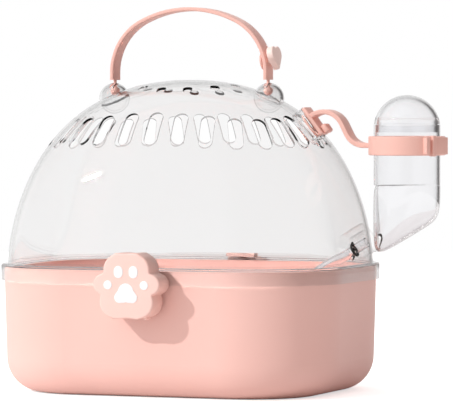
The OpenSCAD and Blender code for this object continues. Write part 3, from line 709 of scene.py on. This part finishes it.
class CarrierColours(bpy.types.PropertyGroup):
    """Colours of the opaque pieces, each a pale and a deep tone in slow clouds."""
    tub_pale: colour("Tub, pale", "Lighter tone of the tub", "#f9cdc3")
    tub_deep: colour("Tub, deep", "Darker tone of the tub", "#f6c6bb")
    paw_pale: colour("Paws, pale", "Lighter tone of the paw latches", "#fdd9ce")
    paw_deep: colour("Paws, deep", "Darker tone of the paw latches", "#f9cec4")
    strap_pale: colour("Straps, pale", "Lighter tone of the straps", "#f4c4b8")
    strap_deep: colour("Straps, deep", "Darker tone of the straps", "#efbbae")
    # The heart's tones are partly its own paler pink and partly painted light.
    heart_pale_and_lit: colour("Heart, pale", "Lighter tone of the heart button", "#ffe9e0")
    heart_deep_and_lit: colour("Heart, deep", "Darker tone of the heart button", "#fee1d8")


class CarrierStage(bpy.types.PropertyGroup):
    """Light of the studio."""
    key_strength: brightness("Key strength", "Strength of the key light", 1.5, 6.0)
    sky_left: brightness("Left fill", "Brightness of the studio on the left", 1.0)
    sky_right: brightness("Right fill", "Brightness of the studio on the right", 0.35)
    floor_lift: brightness("Floor lift", "Glow of the floor towards the camera", 0.6, 1.0)
    backdrop: brightness("Backdrop", "Brightness of what shows through clear pieces", 1.0)


# ---- Pieces ---------------------------------------------------------------------


def frame_finish(node, material):
    """Gives a CAD node that stays its material."""
    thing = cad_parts[node]
    thing.data.materials.clear()
    thing.data.materials.append(material)


class CARRIER_OT_tub(bpy.types.Operator):
    """The tub, the snap hooks and the steel hinge pins keep their CAD shape and get a finish."""
    bl_idname = "carrier.tub"
    bl_label = "Tub"

    def execute(self, context):
        frame_finish("tub", tub_plastic())
        for side in ("front", "back"):
            frame_finish(f"{side}_latch_pin", drawn_steel("stainless_steel_drawn"))
            frame_finish(f"{side}_latch_hook", paw_plastic())
        return {"FINISHED"}


def lid_bodies():
    """What the lid has outside its wall: the two handle sockets and the hanger's boss."""
    bm = bmesh.new()
    for side in (-1, 1):
        add_to(bm, ball(SOCKET_R, (side * SOCKET_X, 0, SOCKET_Z)))
    depth, top = 10.0, -1.55
    add_to(bm, prism(capsule(24.0, 14.5), depth + top), HANGER @ at(0, 0, -depth))
    return bm


def lid_rooms():
    """What is hollow in the lid: slots, small and crown vents, sockets and the boss."""
    bm = bmesh.new()
    below, above = 9.0, 5.0
    slot = prism(capsule(*SLOT_SIZE), below + above)
    for face in slot.faces:
        face.material_index = SLOT_SKIN
    for k in range(SLOT_COUNT):
        add_to(bm, slot, slot_place(k) @ at(0, 0, -below))
    turn, height, radius = SMALL_VENT
    for side in (-1, 1):
        add_to(bm, rod(radius, -below, above, 32), on_dome(side * math.radians(turn), height))
    count, first, ring, radius = CROWN_VENTS
    vent = rod(radius, -18.0, 9.0, 32)
    for k in range(count):
        turn = math.radians(first + 360 * k / count)
        add_to(bm, vent, at(ring * math.cos(turn), ring * math.sin(turn), CROWN_Z))
    for side in (-1, 1):
        add_to(bm, ball(SOCKET_R - SOCKET_WALL, (side * SOCKET_X, 0, SOCKET_Z)))
    depth, top = 20.0, -2.75
    add_to(bm, prism(capsule(21.6, 12.1), depth + top), HANGER @ at(0, 0, -depth))
    return bm


def lid_passages():
    """Fine holes of the lid: the handle's swing slits, the port's bore and the plug's hole."""
    bm = bmesh.new()
    width, foot, shoulder, top, swing = 2.6, -2.6, 9.4, 13.0, math.radians(58.0)
    reach = (shoulder - foot) * math.tan(swing)
    fan = [(0, foot), (reach, shoulder), (reach, top), (-reach, top), (-reach, shoulder)]
    slit = prism(fan, width)
    for side in (-1, 1):
        add_to(bm, slit, at(side * SWING.x - width / 2, 0, SWING.z) @ UPRIGHT)
    add_to(bm, rod(PORT_BORE, -8.0, 2.0, 48), PORT)
    add_to(bm, rounded_box((7.6, 5.6, 20.0), 0.3, 1), HANGER @ at(5.9, 0, 0))
    return bm


class CARRIER_OT_lid(bpy.types.Operator):
    """Clear lid: dome, flange and skirt in one wall, with slots, vents, sockets and bosses."""
    bl_idname = "carrier.lid"
    bl_label = "Clear lid"

    def execute(self, context):
        wall = context.scene.carrier_sizes.clear_wall / MM
        bm = boolean(thicken(lid_skin(), wall), lid_bodies(), "UNION")
        bm = boolean(bm, lid_rooms(), "DIFFERENCE")
        bm = boolean(bm, lid_passages(), "DIFFERENCE")
        lid = finish_piece("clear_lid", bm, "lid", lid_plastic(), ("dome_lid",),
                           sharp=28.0)
        for material in (socket_plastic(), socket_film(), slot_film()):
            lid.data.materials.append(material)
        # The flange is as thick as the sockets, and takes their darker painted edge shade. A
        # socket's part under the dome is thin skin.
        for polygon in lid.data.polygons:
            x, y, z = polygon.center / MM
            if abs(z - FLANGE_TOP) < wall + 0.2:
                polygon.material_index = SOCKET_SKIN
            elif math.dist((abs(x), y, z), (SOCKET_X, 0, SOCKET_Z)) < SOCKET_R + 0.1:
                inner = float(dome_reach(math.atan2(y, x), dome_rise(z))) - wall
                polygon.material_index = BURIED_SKIN if math.hypot(x, y) < inner else SOCKET_SKIN
        outer, top = 12.5, 13.0
        boss = lathe([
            (outer, -3.0), (outer, top - 0.6), (outer - 0.2, top - 0.2), (outer - 0.6, top),
            (PORT_MOUTH + 0.4, top), (PORT_MOUTH, top - 0.4), (PORT_MOUTH, 1.0), (PORT_BORE, 1.0),
        ], 80)
        finish_piece("port_boss", moved(boss, PORT), "lid", port_plastic())
        return {"FINISHED"}


def strap_section(thickness):
    """Rounded section of a strap, as points of (thickness, width)."""
    edge = bpy.context.scene.carrier_sizes.strap_edge / MM
    half_t, half_w = thickness / 2 - edge, STRAP_W / 2 - edge
    section = []
    for sx, sy, start in ((1, 1, 0), (-1, 1, 90), (-1, -1, 180), (1, -1, 270)):
        section += arc((sx * half_t, sy * half_w), edge, start, start + 90, 4)
    return section


def heart_outline(width):
    """A heart with two round lobes above its point, point down."""
    lobe = width * 0.28
    side = lobe * math.sqrt(2)
    low = -width * 0.27 * math.sqrt(2)
    right = arc((side / 2, low + 1.5 * side), lobe, -45, 135, 20)
    left = arc((-side / 2, low + 1.5 * side), lobe, 45, 225, 20)
    return [(0.0, low)] + right + left[1:]


class CARRIER_OT_handle(bpy.types.Operator):
    """Soft carrying handle with its necks and bulbs, and the heart button with its washer."""
    bl_idname = "carrier.handle"
    bl_label = "Handle"

    def execute(self, context):
        rise = SHOULDER_Z - CROWN_Z
        moves = [
            ("line", (0, 0, rise), 2),
            ("arc", (SHOULDER_X, 0, SHOULDER_Z), TOP_TURN - 90.0, 26),
            ("arc", (0, 0, ARC_Z), -2 * TOP_TURN, 40),
            ("arc", (-SHOULDER_X, 0, SHOULDER_Z), TOP_TURN - 90.0, 26),
            ("line", (0, 0, -rise), 2),
        ]
        bm = sweep([(SWING.x + u, v, CROWN_Z) for u, v in strap_section(STRAP_T)], moves)
        bulb = [(0, -3.0)] + arc((0, 0), 3.0, -80, 65, 14)
        foot = lathe(bulb + [(1.0, 3.5), (1.0, 6.2), (1.15, 7.4), (0, 7.4)], 32)
        for side in (-1, 1):
            add_to(bm, foot, at(side * SWING.x, 0, SWING.z))
        finish_piece("carry_strap", bm, "handle", strap_rubber(), ("handle_strap",))

        # The button stands off the right leg, on the shoulder's arc.
        half, gap = STRAP_T / 2, 2.0
        lean = math.asin((BUTTON_Z - SHOULDER_Z) / (SHOULDER_R - half))
        middle = SHOULDER_X + (SHOULDER_R - half) * math.cos(lean)
        leg = at(middle, 0, BUTTON_Z) @ Matrix.Rotation(-lean, 4, "Y")
        heart = prism(heart_outline(17.0), 4.5)
        soften(heart, level_edges(heart), 1.5, 5)
        button = moved(heart, leg @ at(half + gap, 0, 0) @ UPRIGHT)
        post = lathe([(0, -3.0), (1.9, -3.0), (2.0, -2.8), (2.0, 3.5), (0, 3.5)], 32)
        outwards = leg @ turned(90.0, "Y")
        add_to(button, post, outwards)
        finish_piece(
            "heart_button", button, "handle", heart_rubber(), ("handle_button",))
        washer = lathe(
            [(2.05, 0.1), (2.05, 1.4), (5.2, 1.5), (5.6, 1.1), (5.6, 0.4), (5.2, 0)], 48,
            closed=True)
        finish_piece(
            "button_washer", moved(washer, outwards @ at(0, 0, -half - gap - 0.1)), "handle",
            strap_rubber(), ("handle_button_disc",))
        return {"FINISHED"}


def paw_outline(wall, steps=144):
    """Outline of the paw seen from the front, moved in by wall, with soft creases.

    Three pairs of lobes (x, z, radius) and two bars (half width, half height) are merged.
    """
    lobes = ((5.3, 10.0, 10.4), (15.9, 1.1, 6.6), (8.0, -10.1, 10.2))
    bars = ((8.0, 20.3), (16.0, 8.0))
    soft, most, sink = 0.8, 0.2, math.log(1.6)
    points = []
    for i in range(steps):
        turn = 2 * math.pi * i / steps
        d = (math.cos(turn), math.sin(turn))
        reaches = []
        for side in (-1, 1):
            for x, z, r in lobes:
                along = side * x * d[0] + z * d[1]
                inside = along**2 - x * x - z * z + (r - wall)**2
                if inside > 0:
                    reaches.append(along + math.sqrt(inside))
        for half_w, half_h in bars:
            wide = (half_w - wall) / max(abs(d[0]), 1e-6)
            high = (half_h - wall) / max(abs(d[1]), 1e-6)
            reaches.append(min(wide, high))
        best = max(reaches)
        merged = math.log(sum(math.exp((r - best) / soft) for r in reaches)) - sink
        reach = min(best + merged * soft, best + most)
        points.append((reach * d[0], reach * d[1]))
    return points


def pad_outlines():
    """Outlines of the toe and heel pads, about the paw's middle."""
    pads = []
    for side in (-1, 1):
        toe = arc((0, 0.8), 3.0, 0, 180, 16) + arc((0, -0.8), 3.0, 180, 360, 16)
        pads.append([(side * 5 + x, 8.8 + z) for x, z in toe])
        pads.append([(side * 12.1 + x, 0.7 + z) for x, z in arc((0, 0), 2.8, 0, 348, 29)])
    heel = arc((0, -3.4), 5.2, 10, 170, 16)
    heel += arc((-4.3, -7.0), 3.4, 150, 270, 12)
    heel += [(-1.2, -10.2), (0, -9.9), (1.2, -10.2)]
    heel += arc((4.3, -7.0), 3.4, -90, 30, 12)
    pads.append(heel)
    return pads


def paw_shell(edge):
    """The front latch's paw, lying on its back: hollow, with cheeks that hold its pin."""
    paw = prism(paw_outline(0.0), PAW_T)
    soften(paw, level_edges(paw, low=PAW_T - 0.1), edge, 7)
    soften(paw, level_edges(paw, high=0.1), 0.5, 2)
    wall, front, spare = 2.2, 3.0, 1.0
    hollow = prism(paw_outline(wall), PAW_T - front + spare)
    paw = boolean(paw, moved(hollow, at(0, 0, -spare)), "DIFFERENCE")
    pin_y = PIN[1] - PAW_Z
    cheek = rounded_box((2.4, 13.0, 9.0), 1.0)
    for side in (-1, 1):
        add_to(paw, cheek, at(side * 10.7, pin_y - 0.9, 7.7))
    cutters = bmesh.new()
    for outline in pad_outlines():
        add_to(cutters, prism(outline, 2.0), at(0, 0, PAW_T - PAD_DEPTH))
    # Room for the hinge ears below the pin.
    add_to(cutters, rounded_box((19.0, 40.0, 20.0), 0.2, 1),
           at(0, pin_y - 22.0, PIN[0] + 6.0 - PAW_BACK - 10.0))
    return boolean(paw, cutters, "DIFFERENCE", tangled=True)


class CARRIER_OT_latches(bpy.types.Operator):
    """Front and back paw latches: hollow soft-edged paws with white inlaid pads."""
    bl_idname = "carrier.latches"
    bl_label = "Paw latches"

    def execute(self, context):
        paw = paw_shell(context.scene.carrier_sizes.paw_edge / MM)
        pads = bmesh.new()
        for outline in pad_outlines():
            pad = prism(outline, 1.0)
            soften(pad, level_edges(pad, low=0.9), 0.3, 3)
            add_to(pads, pad, at(0, 0, PAW_T - PAD_DEPTH))
        # The back hook's upright passes through a notch in its paw.
        notch = moved(rounded_box((20.6, 60.0, 7.0), 0.3, 1), at(0, 30.0, 0.0))
        notched = boolean(paw.copy(), notch, "DIFFERENCE")
        stand = at(0, -PAW_BACK, PAW_Z) @ turned(90.0, "X")
        for name, way, shape in (("front", stand, paw), ("back", BACK @ stand, notched)):
            body = f"{name}_latch"
            finish_piece(f"{name}_paw", moved(shape, way), body, paw_plastic(),
                         (f"{body}_paw",))
            finish_piece(f"{name}_pads", moved(pads.copy(), way), body,
                         pad_plastic(), (f"{body}_pads",))
        return {"FINISHED"}


def elbow_skin():
    """Outside of the bottle's sloping foot: an upright tube met by a sloping one, softly.

    A sphere's points move out from a seed inside the foot until they meet its surface.
    """
    bm = bmesh.new()
    bmesh.ops.create_uvsphere(bm, u_segments=96, v_segments=96, radius=1.0)
    seed = np.array(Vector((BOTTLE_X, 0.0, 112.0)))
    down = (PORT.to_3x3() @ Vector((0, 0, 1))).normalized()
    aside = (PORT.to_3x3() @ Vector((1, 0, 0))).normalized()
    foot = PORT @ Vector((-10.6, 0, 13.3))
    soft, crisp, wider, far = 3.2, 0.5, 0.5, 120.0
    shrink = 0.05 * soft
    directions = np.array([v.co.normalized() for v in bm.verts])
    low, high = np.zeros(len(directions)), np.full(len(directions), far)

    def outside(points):
        upright = np.hypot(points[:, 0] - BOTTLE_X, points[:, 1]) - BOTTLE_R
        rel = points - np.array(foot)
        slope = np.hypot(rel @ np.array(aside), points[:, 1]) - BOTTLE_R - wider
        body = np.logaddexp(upright / soft, slope / soft) * soft
        return np.logaddexp(body / crisp, -(rel @ np.array(down)) / crisp) * crisp - shrink

    for _ in range(50):
        middle = (low + high) / 2
        out = outside(seed + directions * middle[:, None]) > 0
        high, low = np.where(out, middle, high), np.where(out, low, middle)
    for v, d, reach in zip(bm.verts, directions, low):
        v.co = Vector(seed + d * reach)
    cut_off(bm, (0, 0, ELBOW_SEAM), (0, 0, 1), 1e-4)
    return bm


class CARRIER_OT_bottle(bpy.types.Operator):
    """Clear drinking bottle: elbow with its neck, tube, cap, rubber ring, spout and ball."""
    bl_idname = "carrier.bottle"
    bl_label = "Drinking bottle"

    def execute(self, context):
        wall = context.scene.carrier_sizes.bottle_wall / MM
        inner = BOTTLE_R - wall
        here = at(BOTTLE_X, 0, 0)
        clear = bottle_plastic()
        bore = moved(rod(7.0, 8.0, 18.5, 48), PORT)
        elbow = boolean(thicken(elbow_skin(), wall), bore, "DIFFERENCE")
        finish_piece("bottle_foot", elbow, "bottle", clear, ("bottle_elbow",))
        crest, root, pitch, turns = 8.0, 7.5, 3.0, 4
        neck = [(crest, 2.6)]
        for k in range(turns):
            z = pitch * (k + 1)
            neck += [(crest, z), (root, z + 0.4), (root, z + 1.4), (crest, z + 1.8)]
        neck += [(crest, 14.4)]
        finish_piece(
            "bottle_neck", moved(lathe(neck, 64), PORT), "bottle", neck_plastic())
        low = ELBOW_SEAM + 0.2
        tube = [(inner, low), (BOTTLE_R, low), (BOTTLE_R, CAP_SEAM), (inner, CAP_SEAM)]
        finish_piece("bottle_wall", moved(lathe(tube, closed=True), here), "bottle",
                     clear, ("bottle_tube",))

        # The cap: a round top, and a plug with a lip that reaches into the tube.
        rim = CAP_SEAM + 0.3
        straight, top_wall, plug = 2.6, 1.8, 5.0
        lip, fit = inner - 1.3, inner - 0.1
        start = math.degrees(math.asin(straight / BOTTLE_R))
        end = math.degrees(math.acos(lip / (BOTTLE_R - top_wall)))
        middle = (0, rim - straight)
        cap = arc(middle, BOTTLE_R, start, 90, 26) + arc(middle, BOTTLE_R - top_wall, 90, end, 26)
        cap += [(lip, rim - plug), (fit, rim - plug), (fit, rim)]
        finish_piece("bottle_top", moved(lathe(cap, closed=True), here), "cap",
                     clear, ("bottle_cap",))
        frame_finish("bottle_seal", seal_rubber())
        frame_finish("spout_tube", clear)
        frame_finish("spout_ball", drawn_steel("stainless_steel_drawn"))
        return {"FINISHED"}


class CARRIER_OT_hanger(bpy.types.Operator):
    """Soft hanger: plate, S-shaped strap and the band round the bottle, and its plug."""
    bl_idname = "carrier.hanger"
    bl_label = "Hanger"

    def execute(self, context):
        # The strap leaves its plate 38 degrees before its crest, falls, and turns level.
        bend = CREST_R + SAG_R
        fall = (CREST[1] - BAND_Z + bend * math.cos(FALL) - SAG_R) / math.sin(FALL)
        sag_x = CREST[0] + bend * math.sin(FALL) + fall * math.cos(FALL)
        back = 38.0
        s, c = math.sin(math.radians(-back)), math.cos(math.radians(-back))
        outline = [(CREST[0] + (CREST_R + u) * s, v, CREST[1] + (CREST_R + u) * c)
                   for u, v in strap_section(HANG_T)]
        moves = [
            ("arc", (CREST[0], 0, CREST[1]), back + math.degrees(FALL), 30),
            ("line", (fall * math.cos(FALL), 0, -fall * math.sin(FALL)), 3),
            ("arc", (sag_x, 0, BAND_Z + SAG_R), -math.degrees(FALL), 18),
            ("line", (BOTTLE_X - sum(BAND_R) / 2 - sag_x, 0, 0), 2),
        ]
        strap = sweep(outline, moves)
        (near, far), half = BAND_R, 6.0
        band = [
            (near, 0.4 - half), (near, half - 0.4), (near + 0.4, half), (far - 0.5, half),
            (far, half - 0.5), (far, 0.5 - half), (far - 0.5, -half), (near + 0.4, -half),
        ]
        here = at(BOTTLE_X, 0, BAND_Z)
        add_to(strap, lathe(band, 120, closed=True), here)
        # Where the band closes: the thick end of its loop, the taller keeper, and the tail.
        closing = here @ turned(-30.0, "Z")
        add_to(strap, rounded_box((4.2, 3.2, 10.8), 0.5), closing @ at(24.4, -5.4, 0))
        add_to(strap, rounded_box((4.2, 3.2, 13.0), 0.7), closing @ at(24.4, 0, 0))
        add_to(strap, rounded_box((2.2, 13.0, 10.8), 0.5),
               closing @ at(23.7, 0, 0) @ turned(8.0, "Z") @ at(1.1, 6.5, 0))
        hole = moved(rounded_box((4.6, 5.6, 9.0), 0.3, 1), at(7.4, 0, 0))
        plate = boolean(rounded_box((20.6, STRAP_W, 2.5), 0.5), hole, "DIFFERENCE")
        add_to(strap, plate, HANGER)
        finish_piece(
            "hanger_band", strap, "bottle", strap_rubber(), ("hanger_strap",))

        # The plug: a round lug outside, a stem through the plate, and a bar inside the boss.
        plug = moved(rounded_box((6.0, 9.0, 3.8), 1.4, 6), HANGER @ at(8.4, 0, 3.45))
        add_to(plug, rounded_box((4.0, 5.0, 6.2), 0.3, 2), HANGER @ at(7.4, 0, -1.4))
        bar = prism(capsule(17.0, 10.0), 1.7)
        soften(bar, level_edges(bar), 0.4, 3)
        add_to(plug, bar, HANGER @ at(0.5, 0, -4.75))
        finish_piece("hanger_toggle", plug, "lid", strap_rubber(), ("hanger_plug",))
        return {"FINISHED"}


# ---- Stage -----------------------------------------------------------------------


def studio_world(light):
    """Studio light: white from the left, dimmer and warmer from the right."""
    world = bpy.data.worlds.new("studio")
    world.use_nodes = True
    tree = world.node_tree
    tree.nodes.clear()
    way = add_node(tree, "ShaderNodeTexCoord").outputs["Generated"]
    parts = add_node(tree, "ShaderNodeSeparateXYZ", {0: way})
    x, z = parts.outputs["X"], parts.outputs["Z"]
    # Soft ramps, each from one value at its start to another at its end: the fill's warmth
    # and strength, and what bent rays meet behind clear walls. That is bright on the left
    # and low down, so that the walls' right and upper edges turn grey.
    warmth, fill, fade, upper = [
        add_node(tree, "ShaderNodeMapRange", {
            "Value": value, "From Min": start, "From Max": end, "To Min": low, "To Max": high,
        }, interpolation_type="SMOOTHSTEP").outputs["Result"]
        for value, start, end, low, high in (
            (x, -0.5, 0.9, 0.0, 1.0),
            (x, -0.5, 0.9, light.sky_left, light.sky_right),
            (x, -0.2, 0.15, light.backdrop, 0.12 * light.backdrop),
            (z, 0.05, 0.45, 1.0, 0.65),
        )
    ]
    white = rgba("#ffffff")
    warm = add_node(tree, "ShaderNodeMix", {
        0: warmth, 6: white, 7: rgba("#ffe9e6"),
    }, data_type="RGBA")
    studio = add_node(tree, "ShaderNodeBackground", {
        "Color": warm.outputs[2], "Strength": fill,
    })
    dimmed = add_node(tree, "ShaderNodeMath", {0: fade, 1: upper}, operation="MULTIPLY")
    through = add_node(tree, "ShaderNodeBackground", {
        "Color": white, "Strength": dimmed.outputs[0],
    })
    seen = add_node(tree, "ShaderNodeBackground", {"Color": white, "Strength": 1.0})
    path = add_node(tree, "ShaderNodeLightPath")
    first = add_node(tree, "ShaderNodeMath", {
        0: path.outputs["Diffuse Depth"], 1: 0.5,
    }, operation="LESS_THAN")
    seen_through = add_node(tree, "ShaderNodeMath", {
        0: path.outputs["Is Transmission Ray"], 1: first.outputs[0],
    }, operation="MULTIPLY")
    clear = add_node(tree, "ShaderNodeMixShader", {
        0: seen_through.outputs[0], 1: studio.outputs[0], 2: through.outputs[0],
    })
    mix = add_node(tree, "ShaderNodeMixShader", {
        0: path.outputs["Is Camera Ray"], 1: clear.outputs[0], 2: seen.outputs[0],
    })
    add_node(tree, "ShaderNodeOutputWorld", {"Surface": mix.outputs[0]})
    return world


class CARRIER_OT_stage(bpy.types.Operator):
    """Pale floor, soft studio light and the camera."""
    bl_idname = "carrier.stage"
    bl_label = "Stage"

    def execute(self, context):
        scene = context.scene
        light = scene.carrier_stage
        scene.view_settings.view_transform = "Standard"
        scene.view_settings.look = "None"
        scene.world = studio_world(light)

        key = bpy.data.lights.new("key", "SUN")
        key.energy, key.angle = light.key_strength, math.radians(1.3)
        falls = Vector((0.53, 0.66, -0.535))
        lamp = bpy.data.objects.new("key", key)
        lamp.rotation_euler = falls.to_track_quat("-Z", "Y").to_euler()
        scene.collection.objects.link(lamp)

        bm = bmesh.new()
        bmesh.ops.create_circle(bm, cap_ends=True, radius=2.2, segments=96)
        mesh = bpy.data.meshes.new("floor")
        bm.to_mesh(mesh)
        bm.free()
        mesh.materials.append(opal_sheet("acrylic_opal_sheet", light.floor_lift))
        floor = bpy.data.objects.new("floor", mesh)
        scene.collection.objects.link(floor)

        # The camera, fitted to the outlines in the photograph's frame of 453 by 402. Its
        # focal length is in pixels of that frame, its target in metres across and up.
        frame_width, focal_length, sensor = 453.0, 3835.0, 36.0
        azimuth, elevation, distance = math.radians(21.2), math.radians(1.55), 2.470
        across, up = 0.0228, 0.1215
        right = Vector((math.cos(azimuth), math.sin(azimuth), 0))
        back = Vector((math.sin(azimuth) * math.cos(elevation),
                       -math.cos(azimuth) * math.cos(elevation), math.sin(elevation)))
        camera = bpy.data.cameras.new("camera")
        camera.sensor_width = sensor
        camera.lens = focal_length / frame_width * sensor
        camera.clip_end = 50.0
        eye = bpy.data.objects.new("camera", camera)
        eye.location = right * across + Vector((0, 0, up)) + back * distance
        eye.rotation_euler = (-back).to_track_quat("-Z", "Y").to_euler()
        scene.collection.objects.link(eye)
        scene.camera = eye
        return {"FINISHED"}


class CARRIER_PT_panel(bpy.types.Panel):
    """Lists the carrier's steps, sizes, colours and light."""
    bl_idname = "CARRIER_PT_panel"
    bl_label = "Bird travel carrier"
    bl_space_type = "VIEW_3D"
    bl_region_type = "UI"
    bl_category = "Carrier"

    def draw(self, context):
        for step in STEPS:
            self.layout.operator(step.bl_idname)
        scene = context.scene
        for group in (scene.carrier_sizes, scene.carrier_colours, scene.carrier_stage):
            for name in group.__annotations__:
                self.layout.prop(group, name)


STEPS = (
    CARRIER_OT_stage, CARRIER_OT_tub, CARRIER_OT_lid, CARRIER_OT_handle,
    CARRIER_OT_latches, CARRIER_OT_bottle, CARRIER_OT_hanger,
)
CLASSES = (CarrierSizes, CarrierColours, CarrierStage, *STEPS, CARRIER_PT_panel)


def register():
    for thing in CLASSES:
        bpy.utils.register_class(thing)
    bpy.types.Scene.carrier_sizes = bpy.props.PointerProperty(type=CarrierSizes)
    bpy.types.Scene.carrier_colours = bpy.props.PointerProperty(type=CarrierColours)
    bpy.types.Scene.carrier_stage = bpy.props.PointerProperty(type=CarrierStage)


def unregister():
    del bpy.types.Scene.carrier_stage
    del bpy.types.Scene.carrier_colours
    del bpy.types.Scene.carrier_sizes
    for thing in reversed(CLASSES):
        bpy.utils.unregister_class(thing)


def main():
    register()
    for step in STEPS:
        getattr(bpy.ops.carrier, step.bl_idname.split(".")[1])()


if __name__ == "__main__":
    main()
